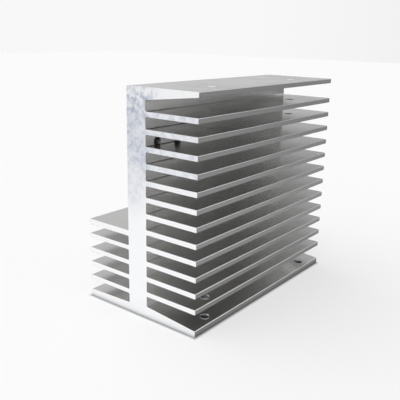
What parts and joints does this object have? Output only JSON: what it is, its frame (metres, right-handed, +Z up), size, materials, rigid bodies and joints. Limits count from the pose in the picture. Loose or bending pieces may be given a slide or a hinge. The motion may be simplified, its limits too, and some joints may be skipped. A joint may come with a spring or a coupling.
{
  "type": "extruded fin heat sink",
  "caption": "Extruded aluminium heat sink: a thick upright web, a tall comb of flat fins on one side, a lower comb on the other and a bare face above it for a device.",
  "frame": {"origin": "centre of the bounding box, on the underside of the bottom flange", "axes": "+Z up as it stands on its bottom flange, +Y along the extrusion away from the front cut face, +X out towards the tips of the tall comb"},
  "size_m": [0.0666, 0.114, 0.1059],
  "materials": {
    "aluminium": "bare extruded aluminium, drawn along its length, with saw-cut ends"
  },
  "bodies": {
    "root": {"heat_sink": "aluminium"}
  },
  "joints": []
}
